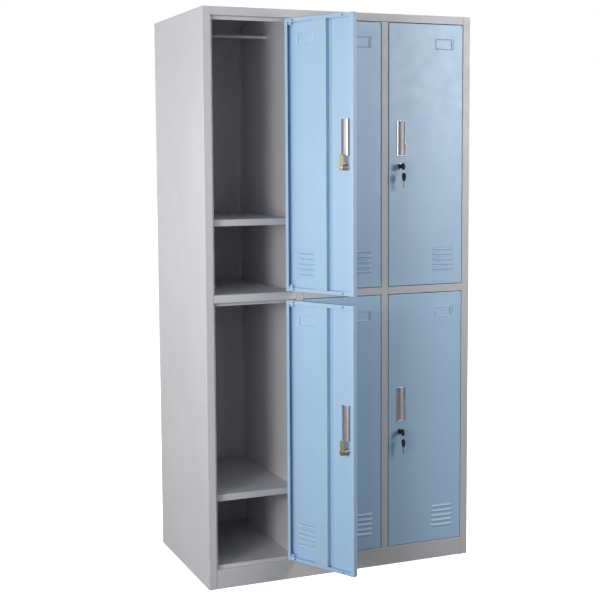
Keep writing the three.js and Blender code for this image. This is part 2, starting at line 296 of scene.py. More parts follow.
def lathe(profile, sides=48, closed=False):
    """A (radius, y) profile turned about the Y axis; closed joins its last point to its first."""
    loops = [
        [
            (r * math.cos(2 * math.pi * k / sides), y, r * math.sin(2 * math.pi * k / sides))
            for k in range(sides)
        ]
        for r, y in profile
    ]
    return loft(loops, closed)


def rounded_loop(x0, x1, z0, z1, radius, y, steps=5):
    """A rectangle with round corners, at depth y."""
    loop = []
    corners = ((x1, z0, -90), (x1, z1, 0), (x0, z1, 90), (x0, z0, 180))
    for x, z, start in corners:
        cx = x - radius if x == x1 else x + radius
        cz = z - radius if z == z1 else z + radius
        for step in range(steps + 1):
            a = math.radians(start + 90 * step / steps)
            loop.append((cx + radius * math.cos(a), y, cz + radius * math.sin(a)))
    return loop


def circle(radius, count=40, centre=(0, 0)):
    """Even points round a circle."""
    return [
        (centre[0] + radius * math.cos(2 * math.pi * k / count),
         centre[1] + radius * math.sin(2 * math.pi * k / count))
        for k in range(count)
    ]


def evaluated(holder):
    """A new mesh of an object as it stands, with its modifiers or its curve's thickness."""
    bpy.context.view_layer.update()
    return bpy.data.meshes.new_from_object(holder.evaluated_get(bpy.context.evaluated_depsgraph_get()))


def plate(loops, thickness, bevel, resolution=2):
    """A flat plate from closed outlines, the first the rim and the rest holes, lying about z = 0."""
    curve = bpy.data.curves.new("outline", "CURVE")
    curve.dimensions = "2D"
    curve.fill_mode = "BOTH"
    for loop in loops:
        spline = curve.splines.new("POLY")
        spline.points.add(len(loop) - 1)
        for point, (x, y) in zip(spline.points, loop):
            point.co = (x, y, 0, 1)
        spline.use_cyclic_u = True
    curve.extrude = thickness / 2 - bevel
    curve.bevel_depth = bevel
    curve.bevel_resolution = resolution
    curve.offset = -bevel
    holder = bpy.data.objects.new("outline", curve)
    bpy.context.scene.collection.objects.link(holder)
    mesh = evaluated(holder)
    part = [tuple(v.co) for v in mesh.vertices], [list(p.vertices) for p in mesh.polygons]
    bpy.data.objects.remove(holder)
    bpy.data.curves.remove(curve)
    bpy.data.meshes.remove(mesh)
    return weld(part)


def weld(part):
    """Joins points that lie together."""
    bm = bmesh.new()
    verts = [bm.verts.new(v) for v in part[0]]
    for face in part[1]:
        if len(set(face)) > 2:
            try:
                bm.faces.new([verts[k] for k in face])
            except ValueError:
                continue
    bmesh.ops.remove_doubles(bm, verts=bm.verts, dist=WELD_WITHIN)
    bm.verts.index_update()
    out = [tuple(v.co) for v in bm.verts], [[v.index for v in f.verts] for f in bm.faces]
    bm.free()
    return out


def cut_round(mesh, holes):
    """Cuts round holes: each is (centre, direction, radius, length) in millimetres."""
    parts = []
    for centre, direction, radius, length in holes:
        turn = Vector((0, 1, 0)).rotation_difference(Vector(direction)).to_matrix()
        drill = lathe([(radius, -length / 2), (radius, length / 2)], 24)
        parts.append(moved(drill, centre, turn))
    tool = bpy.data.objects.new("drill", mesh_from(*merged(*parts)))
    blank = bpy.data.objects.new("blank", mesh)
    for holder in (tool, blank):
        bpy.context.scene.collection.objects.link(holder)
    change = blank.modifiers.new("drill", "BOOLEAN")
    change.operation = "DIFFERENCE"
    change.object = tool
    change.solver = "EXACT"
    done = evaluated(blank)
    bpy.data.objects.remove(tool)
    bpy.data.objects.remove(blank)
    return finish_mesh(done)


def add(name, mesh, body, material, place=None, replaces=()):
    """A piece of the locker, in place, on its body, with its finish."""
    piece = bpy.data.objects.new(name, mesh)
    bpy.context.scene.collection.objects.link(piece)
    if place is not None:
        piece.matrix_world = place
    if not mesh.materials:
        mesh.materials.append(material)
    weight = piece.modifiers.new("flat_faces", "WEIGHTED_NORMAL")
    weight.keep_sharp = True
    weight.weight = 80
    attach(piece, body)
    if replaces:
        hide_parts(*replaces)


# Materials


class Nodes:
    """A material's node tree, with short calls for the nodes used here."""

    NOISE_LOW, NOISE_HIGH = 0.3, 0.7

    def __init__(self, name):
        self.material = bpy.data.materials.new(name)
        self.material.use_nodes = True
        self.tree = self.material.node_tree
        self.shader = self.tree.nodes["Principled BSDF"]
        self.coords = self.tree.nodes.new("ShaderNodeTexCoord").outputs["Object"]

    def link(self, source, target):
        self.tree.links.new(source, target)

    def noise(self, scale, detail=2.0, roughness=0.5, stretch=None):
        """Noise over the piece's own coordinates, stretched along an axis if asked."""
        node = self.tree.nodes.new("ShaderNodeTexNoise")
        node.inputs["Scale"].default_value = scale
        node.inputs["Detail"].default_value = detail
        node.inputs["Roughness"].default_value = roughness
        coords = self.coords
        if stretch:
            mapping = self.tree.nodes.new("ShaderNodeMapping")
            mapping.inputs["Scale"].default_value = stretch
            self.link(coords, mapping.inputs["Vector"])
            coords = mapping.outputs["Vector"]
        self.link(coords, node.inputs["Vector"])
        return node.outputs["Fac"]

    def ramp(self, source, stops):
        """A colour for each (position, colour) stop."""
        node = self.tree.nodes.new("ShaderNodeValToRGB")
        elements = node.color_ramp.elements
        while len(elements) < len(stops):
            elements.new(0.5)
        for element, (position, color) in zip(elements, stops):
            element.position = position
            element.color = (*color, 1)
        self.link(source, node.inputs["Fac"])
        return node.outputs["Color"]

    def span(self, source, low, high):
        """Noise spread from low to high."""
        node = self.tree.nodes.new("ShaderNodeMapRange")
        node.inputs["From Min"].default_value = self.NOISE_LOW
        node.inputs["From Max"].default_value = self.NOISE_HIGH
        node.inputs["To Min"].default_value = low
        node.inputs["To Max"].default_value = high
        self.link(source, node.inputs["Value"])
        return node.outputs["Result"]

    def bump(self, source, strength, distance, under=None):
        """A bump, on top of another one if asked."""
        node = self.tree.nodes.new("ShaderNodeBump")
        node.inputs["Strength"].default_value = strength
        node.inputs["Distance"].default_value = distance
        self.link(source, node.inputs["Height"])
        if under is not None:
            self.link(under, node.inputs["Normal"])
        return node.outputs["Normal"]

    def feed(self, **sources):
        """Links into the shader's own sockets."""
        for name, source in sources.items():
            self.link(source, self.shader.inputs[name.replace("_", " ")])

    def set(self, **values):
        """Constants on the shader's own sockets."""
        for name, value in values.items():
            self.shader.inputs[name.replace("_", " ")].default_value = value


def shade(color, factor):
    """A colour made darker or lighter."""
    return tuple(min(1.0, c * factor) for c in color)


def powder_coat(name, color, ior=1.6):
    """Baked powder coat: faint clouding, pin-fine speckle, orange peel and the sheet's own waviness."""
    n = Nodes(name)
    clouds = n.noise(3.2, 3, 0.55)
    speckle = n.noise(900, 1, 0.4)
    tone = n.ramp(clouds, [(0.3, shade(color, 0.965)), (0.7, shade(color, 1.03))])
    grain = n.ramp(speckle, [(0.28, (0.93, 0.93, 0.94)), (0.5, (1, 1, 1))])
    mix = n.tree.nodes.new("ShaderNodeMix")
    mix.data_type = "RGBA"
    mix.blend_type = "MULTIPLY"
    mix.inputs["Factor"].default_value = 0.5
    n.link(tone, mix.inputs["A"])
    n.link(grain, mix.inputs["B"])
    gloss = n.span(n.noise(22, 4, 0.6), 0.44, 0.54)
    waves = n.bump(n.noise(4.5, 1, 0.3), 0.12, 0.0025)
    peel = n.bump(n.noise(330, 2, 0.45), 0.16, 0.0003, waves)
    n.feed(Base_Color=mix.outputs["Result"], Roughness=gloss, Normal=peel)
    n.set(Specular_IOR_Level=1.0, IOR=ior)
    return n.material


def metal(name, color, rough, brushed=None, bump=0.05):
    """Plated or brushed metal: roughness that wanders, and fine scratches or a brushed grain."""
    n = Nodes(name)
    tone = n.ramp(n.noise(60, 3, 0.6), [(0.3, shade(color, 0.9)), (0.7, shade(color, 1.05))])
    grain = n.noise(1800 if brushed else 420, 3, 0.6, brushed)
    n.feed(Base_Color=tone, Roughness=n.span(grain, *rough), Normal=n.bump(grain, bump, 0.0002))
    n.set(Metallic=1.0)
    return n.material


def zinc(name):
    """Yellow passivated zinc, with its pink and green drift."""
    n = Nodes(name)
    green, straw, pink, grey = (0.36, 0.41, 0.20), (0.46, 0.43, 0.22), (0.47, 0.35, 0.24), (0.38, 0.43, 0.29)
    tone = n.ramp(n.noise(95, 3, 0.6), [(0.28, green), (0.45, straw), (0.6, pink), (0.74, grey)])
    gloss = n.span(n.noise(500, 3, 0.6), 0.4, 0.58)
    n.feed(Base_Color=tone, Roughness=gloss, Normal=n.bump(n.noise(800, 2), 0.1, 0.0002))
    n.set(Metallic=1.0)
    return n.material


def plastic(name, color, rough=(0.35, 0.5)):
    """Moulded plastic: a fine spark-eroded grain and a slightly uneven gloss."""
    n = Nodes(name)
    tone = n.ramp(n.noise(140, 2), [(0.3, shade(color, 0.85)), (0.7, shade(color, 1.12))])
    gloss = n.span(n.noise(260, 3), *rough)
    n.feed(Base_Color=tone, Roughness=gloss, Normal=n.bump(n.noise(1500, 2), 0.12, 0.0001))
    return n.material


GREY = (0.55, 0.545, 0.565)
BLUE = (0.375, 0.58, 0.79)
grey_coat = powder_coat("grey_powder_coat", GREY)
blue_coat = powder_coat("blue_powder_coat", BLUE, ior=1.7)
satin = metal("satin_nickel", (0.76, 0.72, 0.72), (0.32, 0.46), (1, 1, 0.02), 0.06)
chrome = metal("bright_nickel", (0.60, 0.60, 0.62), (0.24, 0.36))
socket_metal = metal("plated_socket", (0.86, 0.85, 0.88), (0.45, 0.58))
rod_metal = metal("plated_tube", (0.74, 0.72, 0.71), (0.34, 0.46), (0.02, 1, 1), 0.05)
cam_metal = zinc("yellow_zinc")
brass = metal("brass_plate", (0.68, 0.52, 0.32), (0.14, 0.24))
black = plastic("black_moulding", (0.014, 0.014, 0.016))
nylon = plastic("white_nylon", (0.78, 0.78, 0.76), (0.4, 0.55))


# Carcass


def carcass(name, *parts):
    """A grey sheet in place of the CAD node with its name."""
    mesh = mesh_from(*merged(*parts), name)
    add(name + "_sheet", mesh, "carcass", grey_coat, replaces=(name,))


def across(path):
    """A (depth, height) path from the front face, in the row frame."""
    return [(FRONT + y, z) for y, z in path]


def upright(path):
    """An (x, depth) path from the front face, in the row frame."""
    return [(x, FRONT + y) for x, y in path]


columns = []
for number in COLUMNS:
    shelf_low, shelf_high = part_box(f"shelf_{number}_lower")
    pivot = Vector(joints[f"door_hinge_{number}_lower"]["pos_m"]) / MM
    right = pivot.x + PIVOT_IN + DOOR_GAP
    left = right - OPENING
    columns.append({
        "number": number,
        "left": left,
        "right": right,
        "clear": (shelf_low.x / MM, shelf_high.x / MM),
        "stop": (left + STOP_WIDTH + GAP, right - STOP_SHORT_OF_HINGE),
    })


def side_panels():
    """Both sides, each with its front stile and rear flange; the left one has a door stop too."""
    full = (0, HEIGHT - NESTED)
    stop = (PLINTH_TOP + GAP, TOP_BOTTOM - GAP)
    stile = LEFT + STILE
    path = upright([(stile + STOP_WIDTH, STOP_Y), (stile, STOP_Y), (stile, 0), (LEFT, 0), (LEFT, DEPTH),
                    (LEFT + REAR_FLANGE, DEPTH)])
    carcass("side_panel_left", folded(path, [stop, full, full, full, full], "z", -1))
    stile = RIGHT - STILE
    path = upright([(RIGHT - REAR_FLANGE, DEPTH), (RIGHT, DEPTH), (RIGHT, 0), (stile, 0), (stile, STOP_Y)])
    carcass("side_panel_right", folded(path, [full] * 4, "z", -1))


def between_stops(low, high):
    """The stretches of low to high, along x, where no door stop runs."""
    edges = [low] + [w for column in columns for w in column["stop"]] + [high]
    return [(edges[k], edges[k + 1]) for k in range(0, len(edges), 2)]


def top_panel():
    """The roof with its rear flange, the top rail and the stops under it."""
    path = across([(DEPTH, HEIGHT - TOP_REAR_FLANGE), (DEPTH, HEIGHT), (0, HEIGHT), (0, TOP_BOTTOM),
                   (STOP_Y, TOP_BOTTOM), (STOP_Y, TOP_BOTTOM - STOP_DROP)])
    inner = (LEFT + STILE + GAP, RIGHT - STILE - GAP)
    rear = (LEFT + REAR_FLANGE + GAP, RIGHT - REAR_FLANGE - GAP)
    spans = [rear, (LEFT, RIGHT), inner, inner, inner]
    holes = [(4, *gap) for gap in between_stops(*inner)]
    carcass("top_panel", folded(path, spans, "x", holes=holes))


def plinth():
    """The kick plate with its foot and stops, and a joggled tab behind each end."""
    path = across([(FOOT, 0), (0, 0), (0, PLINTH_TOP), (STOP_Y, PLINTH_TOP),
                   (STOP_Y, PLINTH_TOP + STOP_WIDTH)])
    inner = (LEFT + STILE + SEAM, RIGHT - STILE - SEAM)
    holes = [(3, *gap) for gap in between_stops(*inner)]
    sheet = folded(path, [inner] * 4, "x", -1, holes=holes)
    tabs = []
    for x, side in ((inner[0], -1), (inner[1], 1)):
        tab = upright([(x - side * TAB_OVERLAP, SHEET), (x - side * TAB_JOGGLE, TAB_BACK),
                       (x + side * (SEAM - 0.1), TAB_BACK)])
        tabs.append(folded(tab, [(SHEET, PLINTH_TOP - BEND)] * 2, "z", side))
    carcass("plinth", sheet, *tabs)


def base_floor():
    """The floor of the lower compartments, turned down in front and behind."""
    rear = BACK_WEB - GAP
    path = across([(FRAME_BACK, FLOOR_TOP - FLOOR_FRONT_LIP), (FRAME_BACK, FLOOR_TOP), (rear, FLOOR_TOP),
                   (rear, FLOOR_TOP - FLOOR_REAR_LIP)])
    inner = (LEFT + NESTED, RIGHT - NESTED)
    carcass("base_floor", folded(path, [inner] * 3, "x", -1))


def back_panel():
    """The recessed back: a web with a pressed rib in each column, side flanges and a foot."""
    low, high = LEFT + NESTED, RIGHT - NESTED
    rim = DEPTH - NESTED
    path = [(low, rim), (low, BACK_WEB)]
    for column in columns:
        rib = column["clear"][1] - RIB_FROM_RIGHT
        path += [(rib + along, BACK_WEB - proud) for along, proud in BACK_RIB]
    path = upright(path + [(high, BACK_WEB), (high, rim)])
    clear = 1
    web = folded(path, [(clear, HEIGHT - NESTED)] * (len(path) - 1), "z", 1, radius=1.0, thickness=BACK_SHEET)
    foot = [(FRONT + BACK_WEB + 1.2, 0), (FRONT + rim - clear, 0)]
    foot = folded(foot, [(low + clear, high - clear)], "x", 1)
    carcass("back_panel", web, foot)


def partitions():
    """The walls between columns, each folded into the post and the stop of the next column."""
    for column in columns[:-1]:
        x = column["right"]
        rear = BACK_WEB - GAP - REAR_CLEARANCE
        path = upright([(x + REAR_FLANGE, rear), (x, rear), (x, FRAME_BACK), (x, 0), (x + POST, 0),
                        (x + POST, STOP_Y), (x + POST + STOP_WIDTH, STOP_Y)])
        tall = (FLOOR_TOP + GAP, HEIGHT - NESTED)
        post = (PLINTH_TOP + GAP, TOP_BOTTOM - GAP)
        sheet = folded(path, [tall, tall, post, post, post, post], "z")
        carcass(f"partition_{column['number']}", sheet)


def decks():
    """The floors of the upper compartments, each folded into the mid rail and its stop."""
    rear = SHELF_REAR - REAR_CLEARANCE
    for column in columns:
        path = across([(rear, MID_TOP - SHELF_LIP), (rear, MID_TOP), (FRAME_BACK, MID_TOP), (0, MID_TOP),
                       (0, MID_BOTTOM), (STOP_Y, MID_BOTTOM), (STOP_Y, MID_BOTTOM - STOP_DROP)])
        clear, stop = column["clear"], column["stop"]
        rail = (column["left"] + GAP, column["right"] - GAP)
        carcass(f"deck_{column['number']}", folded(path, [clear, clear, rail, rail, rail, stop], "x"))


def shelves():
    """One shelf in every compartment."""
    rear = FRONT + SHELF_REAR - REAR_CLEARANCE
    for row in ROWS:
        for column in columns:
            name = f"shelf_{column['number']}_{row}"
            low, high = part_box(name)
            top, front = high.z / MM, low.y / MM
            path = [(front + SHELF_RETURN, top - SHELF_LIP), (front, top - SHELF_LIP), (front, top),
                    (rear, top), (rear, top - SHELF_LIP)]
            carcass(name, folded(path, [column["clear"]] * 4, "x", -1))


side_panels()
top_panel()
plinth()
base_floor()
back_panel()
partitions()
decks()
shelves()


# Clothes rods


def screw(radius):
    """A small pan head, toward -Y."""
    profile = [(0.01, -1.5), (radius * 0.5, -1.45), (radius * 0.85, -1.0), (radius, -0.2), (radius, 0)]
    return lathe(profile, 24)


def rods():
    """A tube in each upper compartment, between two cups that are screwed to the walls."""
    for column in columns:
        n = column["number"]
        for side, inward in (("left", 1), ("right", -1)):
            node = f"rod_socket_{side}_{n}"
            low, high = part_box(node)
            wall = (low if inward > 0 else high).x / MM
            middle = (low + high) / 2 / MM
            profile = [(7.0, 2), (7.0, 11), (7.4, 11.4), (8.1, 11.4), (8.5, 10.8), (8.6, 3.6), (9.2, 2.4),
                       (12.2, 1.9), (12.9, 1.3), (13, 0), (0.5, 0), (0.5, 2)]
            cup = lathe(profile, 48)
            turn = Matrix.Rotation(math.radians(-90 * inward), 3, "Z")
            screws = []
            for z in (-10.6, 10.6):
                screws.append(moved(screw(1.5), (0, 2.0, z), Matrix.Rotation(math.pi, 3, "X")))
            parts = [moved(part, (wall, middle.y, middle.z), turn) for part in (cup, *screws)]
            mesh = mesh_from(*merged(*parts))
            add(f"rod_cup_{side}_{n}", mesh, "carcass", socket_metal, replaces=(node,))
        node = f"hanging_rod_{n}"
        low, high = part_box(node)
        middle = (low + high) / 2 / MM
        half = (high.x - low.x) / MM / 2
        tube = lathe([(5.2, -half + 0.5), (6, -half), (6, half), (5.2, half - 0.5)], 40, True)
        tube = moved(tube, middle, Matrix.Rotation(math.radians(90), 3, "Z"))
        add(f"clothes_rod_{n}", mesh_from(*tube), "carcass", rod_metal, replaces=(node,))


rods()


# Doors


def door_frame(number, row):
    """The door's place: its free lower front corner, its width and its height."""
    tag = f"{number}_{row}"
    joint = joints[f"door_hinge_{tag}"]
    pivot = Vector(joint["pos_m"])
    low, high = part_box(f"door_{tag}")
    bottom = low.z / MM + PIN_REACH
    height = (high.z - low.z) / MM - 2 * PIN_REACH
    open_by = -joint["range_deg"][0]
    width = columns[0]["right"] - columns[0]["left"] - 2 * DOOR_GAP
    place = (
        Matrix.Translation((pivot.x, pivot.y, bottom * MM))
        @ Matrix.Rotation(math.radians(open_by), 4, "Z")
        @ Matrix.Translation(((PIVOT_IN - width) * MM, -PIVOT_BACK * MM, 0))
    )
    return place, width, height


def louvre_rise(x, z, width):
    """How far a louvre's hood stands proud of the skin at a point."""
    right = width - LOUVRE_FROM_HINGE
    end = min(x - right + LOUVRE_WIDTH, right - x)
    step = (z - LOUVRE_LOW) // LOUVRE_PITCH
    v = (z - LOUVRE_LOW - step * LOUVRE_PITCH) / LOUVRE_RISE
    if end <= 0 or not 0 <= step < LOUVRE_COUNT or not 0.003 < v < 1:
        return 0.0
    ends = math.sin(min(1.0, end / LOUVRE_END) * math.pi / 2) ** 0.7
    return LOUVRE_PROUD * ends * math.sin(math.pi * (0.2 + 0.8 * v))


def card_rise(x, z, width, height):
    """The pressed ridge round the card window."""
    right = width - CARD_FROM_HINGE
    top = height - CARD_FROM_TOP
    half_x, half_z = CARD_WIDTH / 2 - CARD_RIDGE, CARD_HEIGHT / 2 - CARD_RIDGE
    dx = abs(x - (right - CARD_WIDTH / 2)) - half_x
    dz = abs(z - (top - CARD_HEIGHT / 2)) - half_z
    away = abs(max(dx, dz)) if max(dx, dz) < 0 or min(dx, dz) < 0 else math.hypot(dx, dz)
    if away >= CARD_RIDGE:
        return 0.0
    return CARD_PROUD * math.cos(math.pi / 2 * away / CARD_RIDGE) ** 2


def handle_bottom(height):
    """The height of the finger pull's lower end."""
    return height / 2 + HANDLE_ABOVE_MIDDLE - HANDLE_HEIGHT / 2


def pan(width, height):
    """The door's folded pan: skin with louvres and card frame, four walls and four lips."""
    t = DOOR_THICK
    u_path = [(DOOR_LIP, t), (0, t), (0, 0), (width, 0), (width, t), (width - DOOR_LIP, t)]
    v_path = [(DOOR_LIP, t), (0, t), (0, 0), (height, 0), (height, t), (height - DOOR_LIP, t)]

    def profile(path, breaks):
        """A folded path, with its middle leg (the skin, strip 2) cut at the breaks."""
        points, strips = bent(path, 1)
        lo = strips.index(2)
        flat = [(Vector((w, 0)), Vector((0, 1))) for w in sorted(breaks)]
        points = points[: lo + 1] + flat + points[lo + 1 :]
        strips = strips[:lo] + [2] * (len(flat) + 1) + strips[lo + 1 :]
        return points, strips

    pull_low = handle_bottom(height)
    pull_x = (HANDLE_LOW + 1.5, HANDLE_LOW + HANDLE_WIDTH - 2.5)
    pull_z = (pull_low + 3, pull_low + HANDLE_HEIGHT - 3)
    louvre_right = width - LOUVRE_FROM_HINGE
    louvre_left = louvre_right - LOUVRE_WIDTH
    louvres = [LOUVRE_LOW + k * LOUVRE_PITCH for k in range(LOUVRE_COUNT)]
    rises = (0.1, 0.22, 0.34, 0.46, 0.58, 0.72, 0.86, 1.0)
    xs = {DOOR_LIP + GAP, width - DOOR_LIP - GAP, *pull_x}
    for inset in (0, 0.8, 2, 4, 6.5, 9.5):
        xs |= {louvre_right - inset, louvre_left + inset}
    xs |= {louvre_left + LOUVRE_WIDTH * k / 6 for k in (2, 3, 4)}
    zs = {DOOR_LIP + GAP, height - DOOR_LIP - GAP, *pull_z}
    for base in louvres:
        zs |= {base, base + LOUVRE_SLIT} | {base + LOUVRE_RISE * f for f in rises}
    card_right = width - CARD_FROM_HINGE
    card_top = height - CARD_FROM_TOP
    ridge = [CARD_RIDGE * f for f in (0, 0.5, 1, 1.5, 2)]
    xs |= {card_right - r for r in ridge} | {card_right - CARD_WIDTH + r for r in ridge}
    zs |= {card_top - r for r in ridge} | {card_top - CARD_HEIGHT + r for r in ridge}
    slot_x = (card_right - 10.4, card_right - 8.2)
    slot_z = (card_top - 30, card_top - 6.5)
    tick_x = (card_right - CARD_WIDTH + 4.9, card_right - CARD_WIDTH + 7.4)
    notch_x = (card_right - 4.6, card_right - 2.4)
    tick_z = (card_top - CARD_HEIGHT + 4.6, card_top - CARD_HEIGHT + 6.4)
    xs |= {*slot_x, *tick_x, *notch_x}
    zs |= {*slot_z, *tick_z}
    holes = [(*pull_x, *pull_z), (*slot_x, *slot_z), (*tick_x, *tick_z), (*notch_x, *tick_z)]
    holes += [(louvre_left + 0.8, louvre_right - 0.8, base, base + LOUVRE_SLIT) for base in louvres]
    xs = thin_out(xs, 0.35, {h[0] for h in holes} | {h[1] for h in holes})
    zs = sorted(zs)
    u, u_strip = profile(u_path, xs)
    v, v_strip = profile(v_path, zs)

    def flat(strips, k):
        """Whether a line of points belongs to the skin."""
        return 2 in (strips[max(k - 1, 0)], strips[min(k, len(strips) - 1)])

    def point(i, j, depth):
        """A point of the pan, at a depth into the sheet."""
        up, un = u[i]
        vp, vn = v[j]
        if flat(u_strip, i) and not flat(v_strip, j):
            p = vp + vn * depth
            return (up.x, p.y, p.x)
        p = up + un * depth
        rise = 0.0
        if flat(u_strip, i) and flat(v_strip, j):
            rise = louvre_rise(up.x, vp.x, width) + card_rise(up.x, vp.x, width, height)
        return (p.x, p.y - rise, vp.x)

    def keep(i, j):
        """The skin without its holes, the walls and the lips; the corners between lips are open."""
        a, b = u_strip[i], v_strip[j]
        if a == 2 and b == 2:
            x = (u[i][0].x + u[i + 1][0].x) / 2
            z = (v[j][0].x + v[j + 1][0].x) / 2
            return not any(h[0] < x < h[1] and h[2] < z < h[3] for h in holes)
        if b == 2:
            return True
        if b in (1.5, 2.5) and a != 2:
            return a not in (1.5, 2.5)
        if a == 2:
            lip = DOOR_LIP + GAP / 2 < u[i][0].x and u[i + 1][0].x < width - DOOR_LIP - GAP / 2
            return lip or b in (1, 1.5, 2.5, 3)
        return False

    shell = cell_shell(
        len(u_strip), len(v_strip), lambda i, j: point(i, j, 0), lambda i, j: point(i, j, SHEET), keep
    )
    mesh = mesh_from(*shell, "door_pan")
    lock_z = height / 2 - LOCK_BELOW_MIDDLE
    drills = [((LOCK_FROM_EDGE, 0, lock_z), (0, 1, 0), LOCK_HOLE_RADIUS, DRILL_LENGTH)]
    for x in (LIP_HOLE_FROM_FREE, width - LIP_HOLE_FROM_HINGE):
        for z in (DOOR_LIP / 2, height - DOOR_LIP / 2):
            drills.append(((x, t, z), (0, 1, 0), LIP_HOLE_RADIUS, DRILL_LENGTH))
    for z in (0, height):
        drills.append(((width - PIVOT_IN, PIVOT_BACK, z), (0, 0, 1), PIN_RADIUS + 0.2, DRILL_LENGTH))
    return cut_round(mesh, drills)


def thin_out(values, near, kept):
    """Sorted values without any that crowd a neighbour, except the ones that must stay."""
    out = []
    for value in sorted(values):
        if not out or value - out[-1] >= near:
            out.append(value)
        elif value in kept and out[-1] not in kept:
            out[-1] = value
        elif value in kept:
            out.append(value)
    return out


def stiffener(width, height):
    """The hat channel up the inside of the door."""
    middle = width - STIFFENER_FROM_HINGE
    left, right = middle - STIFFENER_HALF, middle + STIFFENER_HALF
    crown = DOOR_THICK - 1
    path = [(left - STIFFENER_FOOT, BEHIND_SKIN), (left, BEHIND_SKIN), (left, crown), (right, crown),
            (right, BEHIND_SKIN), (right + STIFFENER_FOOT, BEHIND_SKIN)]
    return mesh_from(*folded(path, [(DOOR_LIP + GAP, height - DOOR_LIP - GAP)] * 5, "z", 1), "stiffener")


def handle(height):
    """A flush pull: a rounded bezel, and a scoop that curls behind its free-edge side."""
    z0 = handle_bottom(height)
    z1 = z0 + HANDLE_HEIGHT
    x0, x1 = HANDLE_LOW, HANDLE_LOW + HANDLE_WIDTH
    in0, in1, low, high = x0 + 5.2, x1 - 2.9, z0 + 3.2, z1 - 3.2
    rings = []
    for inset, y in ((0, -0.2), (0, -0.9), (0.35, -1.5), (1.1, -1.8)):
        rings.append(rounded_loop(x0 + inset, x1 - inset, z0 + inset, z1 - inset, 3.2 - inset, y))
    for inset, y in ((1.1, -1.8), (0.4, -1.45), (0, -0.8), (0, 0.6), (0.9, 0.6), (0.9, -0.2)):
        rings.append(rounded_loop(in0 - inset, in1 + inset, low - inset, high + inset, 1.2 + inset, y))
    bezel = loft(rings)
    curve = [(in1 + 0.4, 0.3), (in1 - 1.6, 3.2), (in1 - 6, 7), (in1 - 12, 10.2), (in1 - 18.5, 12.2),
             (x0 + 1, 13), (x0 - 2.0, 12.4), (x0 - 3.3, 10.6), (x0 - 3.4, 8), (x0 - 2.6, 5.2),
             (x0 - 0.4, 3.4), (x0 + 2.4, 2.4), (in0 - 0.4, 0.4)]
    path = resample(curve, 40)
    wall = 0.8
    scoop = folded(path, [(low - 0.6, high + 0.6)] * (len(path) - 1), "z", -1, radius=0.85, thickness=wall)
    ends = [end_plate(path, z, wall) for z in (low - wall, high)]
    return mesh_from(*merged(bezel, scoop, *ends), "handle", 40)


def resample(points, count):
    """Even points along a smooth curve through the given ones."""
    curve = []
    knots = [Vector(p) for p in points]
    for k in range(len(knots) - 1):
        a = knots[max(k - 1, 0)]
        b, c = knots[k], knots[k + 1]
        d = knots[min(k + 2, len(knots) - 1)]
        for s in range(8):
            f = s / 8
            square = (2 * a - 5 * b + 4 * c - d) * f * f
            cube = (3 * b - a - 3 * c + d) * f**3
            curve.append(0.5 * (2 * b + (c - a) * f + square + cube))
    curve.append(knots[-1])
    lengths = [0.0]
    for a, b in zip(curve, curve[1:]):
        lengths.append(lengths[-1] + (b - a).length)
    out = []
    for k in range(count + 1):
        want = lengths[-1] * k / count
        i = max(1, next((m for m, value in enumerate(lengths) if value >= want), len(curve) - 1))
        f = (want - lengths[i - 1]) / max(lengths[i] - lengths[i - 1], 1e-9)
        out.append(curve[i - 1].lerp(curve[i], f))
    return out


def end_plate(path, z, thickness):
    """Closes the end of a scoop whose outline is the path."""
    count = len(path)
    verts = [(p.x, p.y, z) for p in path] + [(p.x, p.y, z + thickness) for p in path]
    faces = [list(range(count)), list(range(2 * count - 1, count - 1, -1))]
    for k in range(count):
        n = (k + 1) % count
        faces.append([k, n, n + count, k + count])
    return verts, faces


FACING = Matrix.Rotation(math.pi / 2, 3, "X")


def lock_barrel():
    """A cam lock's housing: flanged head, threaded body, and the nut that holds it."""
    profile = [(6.3, -2.0), (6.8, -2.7), (7.8, -3.0), (9.2, -2.8), (10.0, -2.1), (10.2, -1.0), (10.2, -0.2),
               (9.0, -0.2)]
    y, pitch = -0.2, 1.0
    while y < 21:
        profile += [(9.0, y + 0.3), (8.55, y + 0.65), (9.0, y + pitch)]
        y += pitch
    profile += [(8.7, 22), (6.3, 22)]
    housing = lathe(profile, 48, True)
    bore = circle(9.1, 36)
    nut = moved(plate([circle(12.4, 6), bore], 3.6, 0.4), (0, 3.4, 0), FACING)
    washer = moved(plate([circle(12.0), bore], 0.8, 0.15), (0, 1.35, 0), FACING)
    return mesh_from(*merged(housing, nut, washer), "lock_barrel")


def lock_plug():
    """The plug that turns inside the barrel."""
    profile = [(0.01, -2.6), (5.2, -2.6), (5.9, -2.2), (6.0, -1.5), (6.0, 22.3), (0.01, 22.3)]
    return mesh_from(*lathe(profile, 40), "lock_plug")


def cam_outline(length, half, shaft):
    """A cam: round about its shaft, straight sides, and a squared tip with small corners."""
    left = [(-half, length - 2.5), (-half + 0.8, length - 0.8), (-half + 2.5, length)]
    right = [(half - 2.5, length), (half - 0.8, length - 0.8), (half, length - 2.5)]
    angles = [math.radians(-180 * k / 16) for k in range(17)]
    around = [(half * math.cos(a), half * math.sin(a)) for a in angles]
    return [left + right + around, circle(shaft, 24)]


def lock_cam():
    """The zinc cam, standing up while unlocked."""
    return mesh_from(*moved(plate(cam_outline(37, 8, 4), 2.4, 0.35), (0, 23.65, 0), FACING), "lock_cam")


def cam_nut():
    """The nut that holds the cam, and the stud that comes through it."""
    nut = moved(plate([circle(8.2, 6), circle(3.2, 24)], 4.0, 0.7, 3), (0, 27.0, 0), FACING)
    stud = lathe([(0.01, 24.9), (3.15, 24.9), (3.15, 29.3), (2.6, 29.9), (1.5, 30.2), (0.01, 30.2)], 24)
    return mesh_from(*merged(nut, stud), "cam_nut")


